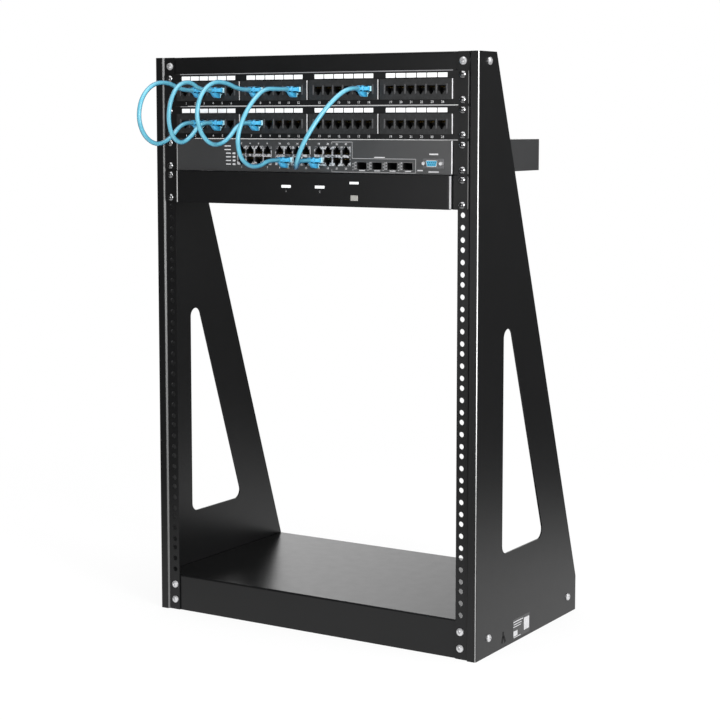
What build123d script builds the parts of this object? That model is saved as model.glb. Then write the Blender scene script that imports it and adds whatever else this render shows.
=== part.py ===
"""Open frame 19-inch rack, sixteen units high, with four units of network gear and five patch cords.

The origin is at the middle of the rack's footprint, +Z is up and the front faces -Y.
"""

import os
from math import pi, radians, tan

from build123d import *

os.makedirs("parts", exist_ok=True)

# Nineteen inch rack standard
unit = 44.45
unit_holes = (6.35, 22.225, 38.1)
hole_spacing = 465.1
panel_width = 482.6
panel_height = 43.6
rail_hole = 7.1
rail_opening = 450.8

# Frame of folded sheet steel
rack_units = 16
depth = 305.0
sheet = 2.0
bend_radius = 2.6
corner_relief = 7.0
base_height = 52.4
head_height = 23.1
top_depth = 48.5
heel_height = 49.5
strip_width = 12.0
rail_recess = 3.0
joggle_run = 2.4
panel_clearance = 0.8
tray_height = 51.0

# Window in each side panel
window_front = 74.0
window_bottom = 127.3
window_rear_web = 79.0
window_corner = 12.0

# Bolts that hold the tray and the head: heights above the floor, or distances from the nearer edge
frame_bolt_hole = 5.5
tray_bolt_heights = (14.6, 36.6)
head_bolt_drop = 12.2
tray_front_bolt = 36.2
tray_rear_bolt = 26.5
tray_side_bolt_height = 24.0
head_side_bolt = 28.5

# Patch panels
plate = 1.6
plate_corner = 3.0
slot_length = 10.0
slot_height = 6.8
plate_lip = 11.0
lip_clearance = 1.0
modules = 4
module_ports = 6
module_pitch = 110.2
module_width = 106.4
module_bottom = 7.3
module_height = 26.4
module_proud = 3.0
module_body_inset = 3.5
module_body_depth = 12.4
module_clearance = 0.2
jack_pitch = 15.4
jack_axis = 21.5
jack_width = 11.9
jack_height = 7.0
jack_depth = 13.0
jack_steps = ((6.4, 2.2), (3.4, 2.0))
label_width = 13.6
label_height = 5.8
label_bottom = 35.2
label_proud = 0.8
board_inset = 2.0
board_height = 34.0
board_thickness = 1.6
terminal_inset = 3.0
terminal_height = 11.0
terminal_depth = 14.0
terminal_offset = 9.5
terminal_slots = 12
terminal_slot = 3.0
terminal_slot_depth = 7.0

# Network switch
case_height = 43.0
switch_width = 437.0
switch_depth = 249.0
fascia_proud = 3.0
ear = 2.0
ear_bend = 2.4
ear_flange = 55.0
port_blocks = 3
block_columns = 4
block_pitch = 62.8
block_start = -86.5
block_width = 57.2
block_bottom = 9.4
block_height = 25.6
block_depth = 24.0
port_pitch = 14.2
port_rows = (16.8, 27.6)
cage_start = 85.0
cage_pitch = 23.2
cages = 4
cage_width = 15.6
cage_height = 10.6
cage_axis = 10.2
cage_wall = 0.7
cage_depth = 45.0
console_port_x = 193.0
console_port_axis = 14.4
console_shell = (17.2, 8.6)
console_shell_angle = 80.0
console_shell_corner = 2.0
console_shell_proud = 5.0
console_flange = (31.0, 12.4)
console_flange_corner = 1.5
console_flange_proud = 0.9
inlet_x = 150.0
inlet_flange = (30.0, 24.0)
inlet_proud = 2.0
inlet_mouth = (24.0, 17.0)
inlet_mouth_depth = 1.2

# Console switch
bezel_proud = 7.0
bezel_width = 434.0
bezel_edge = 1.4
console_depth = 160.0
console_width = 437.0
button_x = 76.0
button_axis = 12.3
button_width = 11.0
button_height = 7.0
button_proud = 0.8
button_edge = 0.3
rear_port_count = 4
rear_port_pitch = 62.0
rear_port_width = 39.0
rear_port_height = 9.0
rear_port_proud = 6.0

# Patch cords and their plugs
plug_width = 11.6
plug_height = 6.7
plug_inserted = 10.0
plug_body = 9.0
boot_length = 21.0
boot_width = 13.0
boot_height = 10.4
boot_neck = 7.6
boot_corner = 1.5
latch_width = 5.8
latch_drop = 4.5
latch_gap = 1.5
cord_diameter = 6.0
cord_lay = 0.45
cord_lead = 18.0

height = base_height + rack_units * unit + head_height
rack_width = panel_width + 2 * (panel_clearance + joggle_run + strip_width)
half_width = rack_width / 2
nose = bezel_proud + ear - rail_recess
front = -(depth - nose) / 2
rear = front + depth
rail_face = front + rail_recess
rail_back = rail_face + sheet
plate_face = rail_face - plate
ear_face = rail_face - ear
module_face = plate_face - module_proud
fascia_face = ear_face - fascia_proud
bezel_face = ear_face - bezel_proud
plug_reach = plug_body + boot_length
hole_x = hole_spacing / 2
tray_side_bolts = (front + tray_front_bolt, rear - tray_rear_bolt)


def unit_bottom(number):
    """Height of the bottom of a rack unit, counted from the top."""
    return base_height + (rack_units - number) * unit


def keep(piece, name):
    """Label a finished piece and write it."""
    piece.label = name
    export_step(piece, f"parts/{name}.step")


def at_front(y):
    """Plane of the drawing board seen from the front, at a depth y."""
    return Plane.XZ.offset(-y)


def side_panel():
    """Right side: one sheet, folded into an outer strip and a hole strip set back from it."""
    slope = (depth - top_depth) / (height - heel_height)

    def rear_edge(z):
        return rear - (z - heel_height) * slope

    with BuildPart() as panel:
        with BuildSketch():
            with BuildLine():
                FilletPolyline(
                    (half_width, rear),
                    (half_width, front),
                    (half_width - strip_width, front),
                    (panel_width / 2 + panel_clearance, rail_face),
                    (rail_opening / 2, rail_face),
                    radius=[bend_radius, sheet / 2, sheet / 2],
                )
                offset(amount=sheet, side=Side.RIGHT)
            make_face()
        extrude(amount=height)
        with BuildSketch(Plane.YZ):
            with BuildLine():
                Polyline(
                    (front, 0), (rear, 0), (rear, heel_height),
                    (front + top_depth, height), (front, height), close=True,
                )
            make_face()
        extrude(amount=rack_width, mode=Mode.INTERSECT)
        with BuildSketch(Plane.YZ) as window:
            window_foot = rear_edge(window_bottom) - window_rear_web
            apex = window_bottom + (window_foot - front - window_front) / slope
            with BuildLine():
                Polyline(
                    (front + window_front, window_bottom),
                    (window_foot, window_bottom),
                    (front + window_front, apex),
                    close=True,
                )
            make_face()
            fillet(window.vertices(), window_corner)
        extrude(amount=rack_width, mode=Mode.SUBTRACT)
        with BuildSketch(at_front(rail_face)):
            for number in range(1, rack_units + 1):
                with Locations(*[(hole_x, unit_bottom(number) + z) for z in unit_holes]):
                    Circle(rail_hole / 2)
            with Locations(*[(hole_x, z) for z in (*tray_bolt_heights, height - head_bolt_drop)]):
                Circle(frame_bolt_hole / 2)
        extrude(amount=-sheet, mode=Mode.SUBTRACT)
        with BuildSketch(Plane.YZ):
            with Locations(*[(y, tray_side_bolt_height) for y in tray_side_bolts]):
                Circle(frame_bolt_hole / 2)
            with Locations((front + head_side_bolt, height - head_bolt_drop)):
                Circle(frame_bolt_hole / 2)
        extrude(amount=rack_width, mode=Mode.SUBTRACT)
    return panel.part


def folded_pan(top, drop, length, lip_bolts, side_bolts, side_bolt_height):
    """Sheet with its four edges folded down from open corners, bolted to the rails and the sides."""
    width = rack_width - 2 * sheet
    with BuildPart() as pan:
        with BuildSketch(Plane.XY.offset(top - drop)):
            with Locations((0, rail_back + length / 2)):
                Rectangle(width, length)
        extrude(amount=drop)
        fillet(pan.edges().group_by(Axis.Z)[-1], bend_radius)
        offset(amount=-sheet, openings=pan.faces().sort_by(Axis.Z)[0])
        with BuildSketch(Plane.XY.offset(top - drop)):
            with Locations((0, rail_back + length / 2)):
                with GridLocations(width - corner_relief, length - corner_relief, 2, 2):
                    Rectangle(corner_relief, corner_relief)
        extrude(amount=drop - sheet - bend_radius, mode=Mode.SUBTRACT)
        with BuildSketch(at_front(rail_back)):
            with Locations(*[(side * hole_x, z) for side in (-1, 1) for z in lip_bolts]):
                Circle(frame_bolt_hole / 2)
        extrude(amount=-sheet, mode=Mode.SUBTRACT)
        with BuildSketch(Plane.YZ):
            with Locations(*[(y, side_bolt_height) for y in side_bolts]):
                Circle(frame_bolt_hole / 2)
        extrude(amount=rack_width / 2, both=True, mode=Mode.SUBTRACT)
    return pan.part


def keyed_opening(x, axis, direction):
    """Socket outline: the plug's rectangle with two narrowing steps for its latch."""
    with Locations((x, axis)):
        Rectangle(jack_width, jack_height)
    reach = jack_height / 2
    for step_width, step_height in jack_steps:
        reach += step_height
        with Locations((x, axis + direction * reach / 2)):
            Rectangle(step_width, reach)


def module_centre(number):
    """Middle of a jack module, counted from the left."""
    return (number - (modules + 1) / 2) * module_pitch


def jack_x(number):
    """Middle of a patch panel port, numbered from 1 at the left."""
    module, place = divmod(number - 1, module_ports)
    return module_centre(module + 1) + (place - (module_ports - 1) / 2) * jack_pitch


def patch_plate(bottom):
    """Front plate of a patch panel with folded edges, ear slots and module openings."""
    body_width = module_width - 2 * module_body_inset + 2 * module_clearance
    body_height = module_height - 2 * module_body_inset + 2 * module_clearance
    with BuildPart() as panel:
        with BuildSketch(at_front(rail_face)):
            with Locations((0, bottom + unit / 2)):
                RectangleRounded(panel_width, panel_height, plate_corner)
            with Locations(*[(s * hole_x, bottom + unit_holes[i]) for s in (-1, 1) for i in (0, 2)]):
                SlotOverall(slot_length, slot_height, mode=Mode.SUBTRACT)
            for number in range(1, modules + 1):
                with Locations((module_centre(number), bottom + module_bottom + module_height / 2)):
                    Rectangle(body_width, body_height, mode=Mode.SUBTRACT)
        extrude(amount=plate)
        lip_middle = (panel_height - plate) / 2
        with BuildSketch(at_front(rail_face)):
            with Locations(*[(0, bottom + unit / 2 + s * lip_middle) for s in (-1, 1)]):
                Rectangle(rail_opening - 2 * lip_clearance, plate)
        extrude(amount=-plate_lip)
    return panel.part


def jack_module(number, bottom):
    """Six keyed sockets in one moulding, seated on the plate from the front."""
    x = module_centre(number)
    middle = bottom + module_bottom + module_height / 2
    with BuildPart() as module:
        with BuildSketch(at_front(plate_face)):
            with Locations((x, middle)):
                Rectangle(module_width, module_height)
        extrude(amount=module_proud)
        with BuildSketch(at_front(plate_face)):
            with Locations((x, middle)):
                Rectangle(module_width - 2 * module_body_inset, module_height - 2 * module_body_inset)
        extrude(amount=-(plate + module_body_depth))
        with BuildSketch(at_front(module_face)):
            first = (number - 1) * module_ports + 1
            for port in range(first, first + module_ports):
                keyed_opening(jack_x(port), bottom + jack_axis, -1)
        extrude(amount=-jack_depth, mode=Mode.SUBTRACT)
    return module.part


def label_tiles(bottom):
    """A blank label tile above each port."""
    middle = bottom + label_bottom + label_height / 2
    with BuildPart() as labels:
        with BuildSketch(at_front(plate_face)):
            with Locations(*[(jack_x(port), middle) for port in range(1, modules * module_ports + 1)]):
                Rectangle(label_width, label_height)
        extrude(amount=label_proud)
    return labels.part


def terminal_boards(bottom):
    """Circuit boards behind the modules, each with two slotted punch-down blocks."""
    board_front = rail_face + module_body_depth
    board_width = module_width - 2 * board_inset
    terminal_width = board_width - 2 * terminal_inset
    middle = bottom + unit / 2
    with BuildPart() as boards:
        for number in range(1, modules + 1):
            x = module_centre(number)
            with BuildSketch(at_front(board_front)):
                with Locations((x, middle)):
                    Rectangle(board_width, board_height)
            extrude(amount=-board_thickness)
            with BuildSketch(at_front(board_front + board_thickness)):
                with Locations(*[(x, middle + s * terminal_offset) for s in (-1, 1)]):
                    Rectangle(terminal_width, terminal_height)
            extrude(amount=-terminal_depth)
            slot_pitch = terminal_width / (terminal_slots + 1)
            with BuildSketch(at_front(board_front + board_thickness + terminal_depth)):
                for s in (-1, 1):
                    with Locations((x, middle + s * terminal_offset)):
                        with GridLocations(slot_pitch, 0, terminal_slots, 1):
                            Rectangle(terminal_slot, terminal_height)
            extrude(amount=terminal_slot_depth, mode=Mode.SUBTRACT)
    return boards.part


def bracket(side, bottom, case_half_width):
    """Angle that carries a case: an ear on the rail and a flange along the case's side."""
    edge = panel_width / 2
    with BuildPart() as angle:
        with BuildSketch(Plane.XY.offset(bottom + (unit - panel_height) / 2)):
            with BuildLine():
                FilletPolyline(
                    (edge, ear_face), (case_half_width, ear_face), (case_half_width, ear_face + ear_flange),
                    radius=ear_bend,
                )
                offset(amount=ear, side=Side.RIGHT)
            make_face()
        extrude(amount=panel_height)
        outer_edges = angle.edges().filter_by(Axis.Y).group_by(Axis.X)[-1]
        fillet(outer_edges, plate_corner)
        with BuildSketch(at_front(rail_face)):
            with Locations(*[(hole_x, bottom + unit_holes[i]) for i in (0, 2)]):
                SlotOverall(slot_length, slot_height)
        extrude(amount=ear, mode=Mode.SUBTRACT)
    if side > 0:
        return angle.part
    return mirror(angle.part, about=Plane.YZ)


def case_block(bottom, width, length):
    """Add a closed housing between its brackets to the piece in hand."""
    with BuildSketch(Plane.XY.offset(bottom + (unit - case_height) / 2)) as foot:
        with Locations((0, ear_face + length / 2)):
            Rectangle(width, length)
    extrude(foot.sketch, amount=case_height)


def port_block_x(number):
    """Middle of a block of switch ports, counted from the left."""
    return block_start + (number - 1) * block_pitch


def switch_x(block, column):
    """Middle of a column of switch ports, numbered from 1 in its block."""
    return port_block_x(block) + (column - (block_columns + 1) / 2) * port_pitch


def block_places(bottom):
    """Middles of the blocks of switch ports."""
    middle = bottom + block_bottom + block_height / 2
    return [(port_block_x(number), middle) for number in range(1, port_blocks + 1)]


def cage_places(bottom):
    """Middles of the transceiver cages."""
    return [(cage_start + place * cage_pitch, bottom + cage_axis) for place in range(cages)]


def switch_case(bottom):
    """Housing of the network switch with pockets for its ports."""
    with BuildPart() as case:
        case_block(bottom, switch_width, switch_depth)
        with BuildSketch(at_front(ear_face)):
            with Locations(*block_places(bottom)):
                Rectangle(block_width, block_height)
        extrude(amount=-(block_depth - fascia_proud), mode=Mode.SUBTRACT)
        with BuildSketch(at_front(ear_face)):
            with Locations(*cage_places(bottom)):
                Rectangle(cage_width, cage_height)
        extrude(amount=-(cage_depth - fascia_proud), mode=Mode.SUBTRACT)
    return case.part


def console_case(bottom):
    """Housing of the console switch."""
    with BuildPart() as case:
        case_block(bottom, console_width, console_depth)
    return case.part


def switch_fascia(bottom):
    """Front cover of the network switch, pierced for its ports."""
    with BuildPart() as cover:
        with BuildSketch(at_front(ear_face)):
            with Locations((0, bottom + unit / 2)):
                Rectangle(switch_width, panel_height)
            with Locations(*block_places(bottom)):
                Rectangle(block_width, block_height, mode=Mode.SUBTRACT)
            with Locations(*cage_places(bottom)):
                Rectangle(cage_width, cage_height, mode=Mode.SUBTRACT)
        extrude(amount=fascia_proud)
    return cover.part


def port_block(number, bottom):
    """Shielded block of eight sockets in two rows, latches outward."""
    with BuildPart() as block:
        with BuildSketch(at_front(fascia_face)):
            with Locations((port_block_x(number), bottom + block_bottom + block_height / 2)):
                Rectangle(block_width, block_height)
        extrude(amount=-block_depth)
        with BuildSketch(at_front(fascia_face)):
            for column in range(1, block_columns + 1):
                for axis, direction in zip(port_rows, (-1, 1)):
                    keyed_opening(switch_x(number, column), bottom + axis, direction)
        extrude(amount=-jack_depth, mode=Mode.SUBTRACT)
    return block.part


def port_cages(bottom):
    """Four thin-walled cages for pluggable transceivers."""
    with BuildPart() as shields:
        with BuildSketch(at_front(fascia_face)):
            with Locations(*cage_places(bottom)):
                Rectangle(cage_width, cage_height)
                Rectangle(cage_width - 2 * cage_wall, cage_height - 2 * cage_wall, mode=Mode.SUBTRACT)
        extrude(amount=-cage_depth)
    return shields.part


def console_port(bottom):
    """Nine-way connector: flange with two jack screws and a D-shaped shell."""
    axis = bottom + console_port_axis
    with BuildPart() as port:
        with BuildSketch(at_front(fascia_face)):
            with Locations((console_port_x, axis)):
                RectangleRounded(*console_flange, console_flange_corner)
        extrude(amount=console_flange_proud)
        with BuildSketch(at_front(fascia_face - console_flange_proud)) as shell:
            with Locations((console_port_x, axis)):
                Trapezoid(*console_shell, console_shell_angle, rotation=180)
            fillet(shell.vertices(), console_shell_corner)
        extrude(amount=console_shell_proud)
    return port.part


def power_inlet(bottom):
    """Three-pin inlet on the back of the switch."""
    back = ear_face + switch_depth
    with BuildPart() as inlet:
        with BuildSketch(at_front(back)):
            with Locations((-inlet_x, bottom + unit / 2)):
                Rectangle(*inlet_flange)
        extrude(amount=-inlet_proud)
        with BuildSketch(at_front(back + inlet_proud)):
            with Locations((-inlet_x, bottom + unit / 2)):
                Rectangle(*inlet_mouth)
        extrude(amount=inlet_mouth_depth, mode=Mode.SUBTRACT)
    return inlet.part


def console_bezel(bottom):
    """Plain front of the console switch, standing well proud of its ears."""
    with BuildPart() as bezel:
        with BuildSketch(at_front(ear_face)):
            with Locations((0, bottom + unit / 2)):
                Rectangle(bezel_width, panel_height)
        extrude(amount=bezel_proud)
        fillet(bezel.edges().filter_by(Axis.Z).group_by(Axis.Y)[0], bezel_edge)
    return bezel.part


def select_button(bottom):
    """Rectangular push button on the console switch."""
    with BuildPart() as button:
        with BuildSketch(at_front(bezel_face)):
            with Locations((button_x, bottom + button_axis)):
                Rectangle(button_width, button_height)
        extrude(amount=button_proud)
        fillet(button.faces().sort_by(Axis.Y)[0].edges(), button_edge)
    return button.part


def rear_ports(bottom):
    """Row of long connectors on the back of the console switch."""
    back = ear_face + console_depth
    with BuildPart() as ports:
        with BuildSketch(at_front(back)):
            with Locations((0, bottom + unit / 2)):
                with GridLocations(rear_port_pitch, 0, rear_port_count, 1):
                    Rectangle(rear_port_width, rear_port_height)
        extrude(amount=-rear_port_proud)
    return ports.part


def plug(x, face, axis):
    """Add a booted plug in its socket: body, tapered boot and the latch under its guard."""
    with BuildSketch(at_front(face - plug_body)) as body:
        with Locations((x, axis)):
            Rectangle(plug_width, plug_height)
    extrude(body.sketch, amount=-(plug_body + plug_inserted))
    with BuildSketch(at_front(face - plug_body)) as wide:
        with Locations((x, axis)):
            Rectangle(boot_width, boot_height)
        chamfer(wide.vertices(), boot_corner)
    with BuildSketch(at_front(face - plug_reach)) as neck:
        with Locations((x, axis)):
            Rectangle(boot_neck, boot_neck)
        chamfer(neck.vertices(), boot_corner)
    loft([wide.sketch, neck.sketch])
    underside = axis - plug_height / 2
    with BuildSketch(Plane.YZ.offset(x)) as guard:
        with BuildLine():
            Polyline(
                (face - latch_gap, underside),
                (face - latch_gap, underside - latch_drop),
                (face - plug_body - latch_gap, underside - latch_drop),
                (face - plug_body - 3 * latch_gap, underside),
                close=True,
            )
        make_face()
    extrude(guard.sketch, amount=latch_width / 2, both=True)


def plug_pair(ends):
    """Both plugs of one cord."""
    with BuildPart() as pair:
        for x, face, axis in ends:
            plug(x, face, axis)
    return pair.part


def cord_radii(points):
    """Bend radius at each inner point of a route, as large as its two runs allow."""
    radii = []
    for before, here, after in zip(points, points[1:], points[2:]):
        run_in = Vector(*here) - Vector(*before)
        run_out = Vector(*after) - Vector(*here)
        half_turn = radians(run_in.get_angle(run_out)) / 2
        radii.append(cord_lay * min(run_in.length, run_out.length) / tan(half_turn))
    return radii


def cord(name, points):
    """Round cord along straight runs joined by tangent arcs."""
    radii = cord_radii(points)
    with BuildPart() as tube:
        with BuildLine() as path:
            FilletPolyline(*points, radius=radii)
        route = path.wire()
        with BuildSketch(Plane(origin=route @ 0, z_dir=route % 0)):
            Circle(cord_diameter / 2)
        sweep()
    length = route.length
    section = pi * cord_diameter**2 / 4
    print(name, "length", round(length, 1), "volume ratio", round(tube.part.volume / (section * length), 5))
    print("   radii", [round(radius, 1) for radius in radii])
    return tube.part


upper, lower, network, console = (unit_bottom(number) for number in (1, 2, 3, 4))

right_side = side_panel()
keep(right_side, "right_side_panel")
keep(mirror(right_side, about=Plane.YZ), "left_side_panel")
keep(
    folded_pan(
        tray_height, tray_height, rear - rail_back,
        tray_bolt_heights, tray_side_bolts, tray_side_bolt_height,
    ),
    "base_tray",
)
keep(
    folded_pan(
        height, head_height - (unit - panel_height) / 2, front + top_depth - rail_back,
        (height - head_bolt_drop,), (front + head_side_bolt,), height - head_bolt_drop,
    ),
    "top_bar",
)

for place, bottom in (("upper", upper), ("lower", lower)):
    keep(patch_plate(bottom), f"{place}_patch_plate")
    keep(label_tiles(bottom), f"{place}_patch_labels")
    keep(terminal_boards(bottom), f"{place}_patch_boards")
    for number in range(1, modules + 1):
        keep(jack_module(number, bottom), f"{place}_patch_jacks_{number}")

keep(switch_case(network), "switch_case")
keep(switch_fascia(network), "switch_fascia")
keep(port_cages(network), "switch_cages")
keep(console_port(network), "switch_console_port")
keep(power_inlet(network), "switch_power_inlet")
for number in range(1, port_blocks + 1):
    keep(port_block(number, network), f"switch_ports_{number}")

keep(console_case(console), "console_case")
keep(console_bezel(console), "console_bezel")
keep(select_button(console), "console_button")
keep(rear_ports(console), "console_rear_ports")
for name, bottom, width in (("switch", network, switch_width), ("console", console, console_width)):
    for side_name, side in (("left", -1), ("right", 1)):
        keep(bracket(side, bottom, width / 2), f"{name}_{side_name}_bracket")

switch_axis = network + port_rows[0]
patch_axis = {"upper": upper + jack_axis, "lower": lower + jack_axis}
plugs = {
    "cord_1": ((jack_x(3), module_face, patch_axis["upper"]), (jack_x(3), module_face, patch_axis["lower"])),
    "cord_2": ((jack_x(5), module_face, patch_axis["upper"]), (jack_x(5), module_face, patch_axis["lower"])),
    "cord_3": ((jack_x(8), module_face, patch_axis["upper"]), (jack_x(8), module_face, patch_axis["lower"])),
    "cord_4": ((jack_x(12), module_face, patch_axis["upper"]), (switch_x(2, 2), fascia_face, switch_axis)),
    "cord_5": ((jack_x(18), module_face, patch_axis["upper"]), (switch_x(3, 1), fascia_face, switch_axis)),
}

# Inner points of each cord's route, between the points straight out from its two plugs
routes = {
    "cord_1": (
        (-174.0, -226.5, 750.5), (-175.5, -256.5, 749.0), (-176.5, -281.0, 731.0), (-177.0, -288.5, 703.0),
        (-176.5, -277.0, 678.5), (-175.5, -251.0, 666.0), (-174.0, -222.5, 675.0),
    ),
    "cord_2": (
        (-143.0, -218.5, 751.5), (-144.5, -243.0, 747.5), (-145.5, -259.0, 727.5), (-146.0, -264.0, 701.5),
        (-145.7, -257.0, 678.5), (-145.0, -238.0, 668.0), (-143.4, -217.0, 677.8),
    ),
    "cord_3": (
        (-79.5, -225.5, 749.5), (-81.0, -254.5, 749.5), (-82.0, -278.5, 733.0), (-82.5, -287.5, 706.0),
        (-82.0, -277.0, 680.0), (-81.0, -252.0, 665.5), (-79.5, -222.5, 673.0),
    ),
    "cord_4": (
        (-18.5, -226.0, 740.5), (-20.5, -249.5, 724.0), (-22.5, -267.5, 703.0), (-25.0, -277.5, 677.0),
        (-27.5, -268.5, 653.0), (-29.5, -245.5, 640.0), (-30.5, -218.5, 639.5),
    ),
    "cord_5": (
        (86.0, -217.0, 728.5), (76.5, -233.5, 709.0), (67.0, -246.5, 687.0), (57.0, -253.5, 664.0),
        (46.0, -247.5, 645.5), (33.0, -229.0, 637.5), (22.0, -210.0, 642.0),
    ),
}

for name, ends in plugs.items():
    keep(plug_pair(ends), f"{name}_plugs")
    start, finish = ((x, face - plug_reach, axis) for x, face, axis in ends)
    out, back = ((x, y - cord_lead, axis) for x, y, axis in (start, finish))
    keep(cord(name, [start, out, *routes[name], back, finish]), name)
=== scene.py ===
"""Looks of the open frame rack: a finish for every CAD part, screws, printing, plugs and patch cords.

Metres, in the frame of the CAD model: origin at the middle of the footprint, +Z up, the front faces -Y.
"""

from math import cos, pi, radians, sin

import bmesh
import bpy
from mathutils import Matrix, Vector


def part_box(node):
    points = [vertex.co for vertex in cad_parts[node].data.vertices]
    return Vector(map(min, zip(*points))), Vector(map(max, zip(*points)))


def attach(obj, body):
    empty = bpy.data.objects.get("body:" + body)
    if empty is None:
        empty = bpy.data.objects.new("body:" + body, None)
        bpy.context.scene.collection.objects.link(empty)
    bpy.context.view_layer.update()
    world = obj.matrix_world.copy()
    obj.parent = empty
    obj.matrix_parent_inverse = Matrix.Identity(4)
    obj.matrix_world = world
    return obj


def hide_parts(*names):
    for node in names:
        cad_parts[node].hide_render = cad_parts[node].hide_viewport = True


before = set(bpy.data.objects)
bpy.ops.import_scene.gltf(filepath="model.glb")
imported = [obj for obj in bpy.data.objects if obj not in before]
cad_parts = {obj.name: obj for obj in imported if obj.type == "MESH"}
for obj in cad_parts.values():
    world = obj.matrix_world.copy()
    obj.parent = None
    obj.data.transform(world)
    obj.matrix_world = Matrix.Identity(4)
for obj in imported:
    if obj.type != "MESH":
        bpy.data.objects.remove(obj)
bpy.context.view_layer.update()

mm = 0.001

# Rack standard, and the rack's own edges, faces and bolts
unit = 44.45 * mm
unit_holes = (6.35 * mm, 38.1 * mm)
hole_x = 232.55 * mm
rack_units = 16
base_height = 52.4 * mm
rack_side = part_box("right_side_panel")[1].x
rack_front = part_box("right_side_panel")[0].y
rail_face = rack_front + 3.0 * mm
rail_edge = 242.1 * mm
rail_bolts = (774.5 * mm, 36.6 * mm, 14.6 * mm)
side_bolts = ((28.5 * mm, 774.5 * mm), (36.2 * mm, 24.0 * mm), (278.5 * mm, 24.0 * mm))

# Front faces of the gear
plate_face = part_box("upper_patch_plate")[0].y
ear_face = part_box("switch_left_bracket")[0].y
module_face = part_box("upper_patch_jacks_1")[0].y
fascia_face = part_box("switch_fascia")[0].y
bezel_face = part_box("console_bezel")[0].y

# Patch panels: four modules of six jacks
modules = 4
module_ports = 6
module_pitch = 110.2 * mm
jack_pitch = 15.4 * mm
jack_axis = 21.5 * mm
panel_ports = range(1, modules * module_ports + 1)
# Left end of the painted highlight along the patch panels' top edges
top_highlight_left = -214.0 * mm

# Network switch: three groups of four columns of ports, four cages and the console port
port_groups = (1, 2, 3)
group_columns = 4
group_start = -86.5 * mm
group_pitch = 62.8 * mm
port_pitch = 14.2 * mm
port_rows = (16.8 * mm, 27.6 * mm)
cages = 4
cage_start = 85.0 * mm
cage_pitch = 23.2 * mm
console_port_x = 193.0 * mm
console_port_axis = 14.4 * mm

# Contacts in a socket
socket_pins = 8
pin_pitch = 1.02 * mm
pin_depth = 7.0 * mm
pin_rise = 2.2 * mm
pin_size = (0.35 * mm, 8.0 * mm, 0.3 * mm)
pin_slope = radians(14)

# Cords and plugs, measured from the socket's face
cord_diameter = 6.0 * mm
cord_lead = 18.0 * mm
plug_reach = 30.0 * mm
boot_reach = 23.9 * mm

ink = 0.06 * mm

# Room: what lights the rack, and what its gloss mirrors in front, behind and at the right
behind = (-0.75, 0.66, 0.05)
room_light = 0.78
mirror_dark = 0.1
mirror_bright = 2.7
mirror_right = 1.1

# Floor: share of plain white near the rack, and how much of it goes under the rack
shadow_share = 0.87
shadow_under = 0.8


def unit_bottom(number):
    """Height of the bottom of a rack unit, counted from the top."""
    return base_height + (rack_units - number) * unit


upper, lower, network, console = (unit_bottom(number) for number in (1, 2, 3, 4))


def in_mm(*values):
    """Lengths given in millimetres."""
    return tuple(value * mm for value in values)


def centred(place, count, pitch):
    """Distance from the middle of a row, for places counted from 0."""
    return (place - (count - 1) / 2) * pitch


def jack_x(port):
    """Middle of a patch panel port, numbered from 1 at the left."""
    module, place = divmod(port - 1, module_ports)
    return centred(module, modules, module_pitch) + centred(place, module_ports, jack_pitch)


def switch_x(group, column):
    """Middle of a column of switch ports, both numbered from 1."""
    return group_start + (group - 1) * group_pitch + centred(column - 1, group_columns, port_pitch)


def grey(level):
    """Neutral colour."""
    return (level, level, level)


class Signal:
    """A shader socket. Arithmetic on it adds Math nodes."""

    def __init__(self, nodes, socket):
        self.nodes = nodes
        self.socket = socket

    def math(self, operation, first, second):
        return self.nodes.node("ShaderNodeMath", {"operation": operation}, {0: first, 1: second})

    def __add__(self, other):
        return self.math("ADD", self, other)

    def __sub__(self, other):
        return self.math("SUBTRACT", self, other)

    def __rsub__(self, other):
        return self.math("SUBTRACT", other, self)

    def __mul__(self, other):
        return self.math("MULTIPLY", self, other)

    def __gt__(self, other):
        return self.math("GREATER_THAN", self, other)

    __radd__ = __add__
    __rmul__ = __mul__


class Nodes:
    """A node tree, written as expressions on its sockets."""

    def __init__(self, tree):
        self.tree = tree

    def feed(self, socket, value):
        if isinstance(value, Signal):
            self.tree.links.new(value.socket, socket)
        elif hasattr(socket.default_value, "__len__") and len(socket.default_value) == 4:
            socket.default_value = (*value, 1.0)
        else:
            socket.default_value = value

    def node(self, kind, settings=None, inputs=None, output=0):
        made = self.tree.nodes.new(kind)
        for name, value in (settings or {}).items():
            setattr(made, name, value)
        for name, value in (inputs or {}).items():
            self.feed(made.inputs[name], value)
        return Signal(self, made.outputs[output])

    def place(self, kind="Object"):
        return self.node("ShaderNodeTexCoord", output=kind)

    def along(self, axis, kind="Object"):
        return self.node("ShaderNodeSeparateXYZ", inputs={0: self.place(kind)}, output=axis)

    def noise(self, scale, detail=2.0, stretch=None):
        point = self.place()
        if stretch:
            point = self.node("ShaderNodeMapping", inputs={"Vector": point, "Scale": stretch})
        return self.node("ShaderNodeTexNoise", inputs={"Vector": point, "Scale": scale, "Detail": detail})

    def ramp(self, value, low, high):
        """0 below low, 1 above high and a smooth rise between."""
        smooth = {"interpolation_type": "SMOOTHSTEP"}
        return self.node("ShaderNodeMapRange", smooth, {0: value, 1: low, 2: high})

    def inside(self, value, low, high):
        """1 from low to high and 0 outside."""
        return (value > low) * (1.0 - (value > high))

    def mix(self, factor, first, second):
        return self.node("ShaderNodeMix", {"data_type": "RGBA"}, {0: factor, 6: first, 7: second}, 2)

    def between(self, low, high, amount):
        """Number that goes from low to high as amount goes from 0 to 1."""
        return low + amount * (high - low)

    def ray(self, kind):
        """1 for rays of one kind and 0 for the others."""
        return self.node("ShaderNodeLightPath", output=f"Is {kind} Ray")

    def seen(self):
        """1 for what the camera sees, directly or through something clear."""
        return self.ray("Camera") + self.ray("Transmission")


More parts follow.
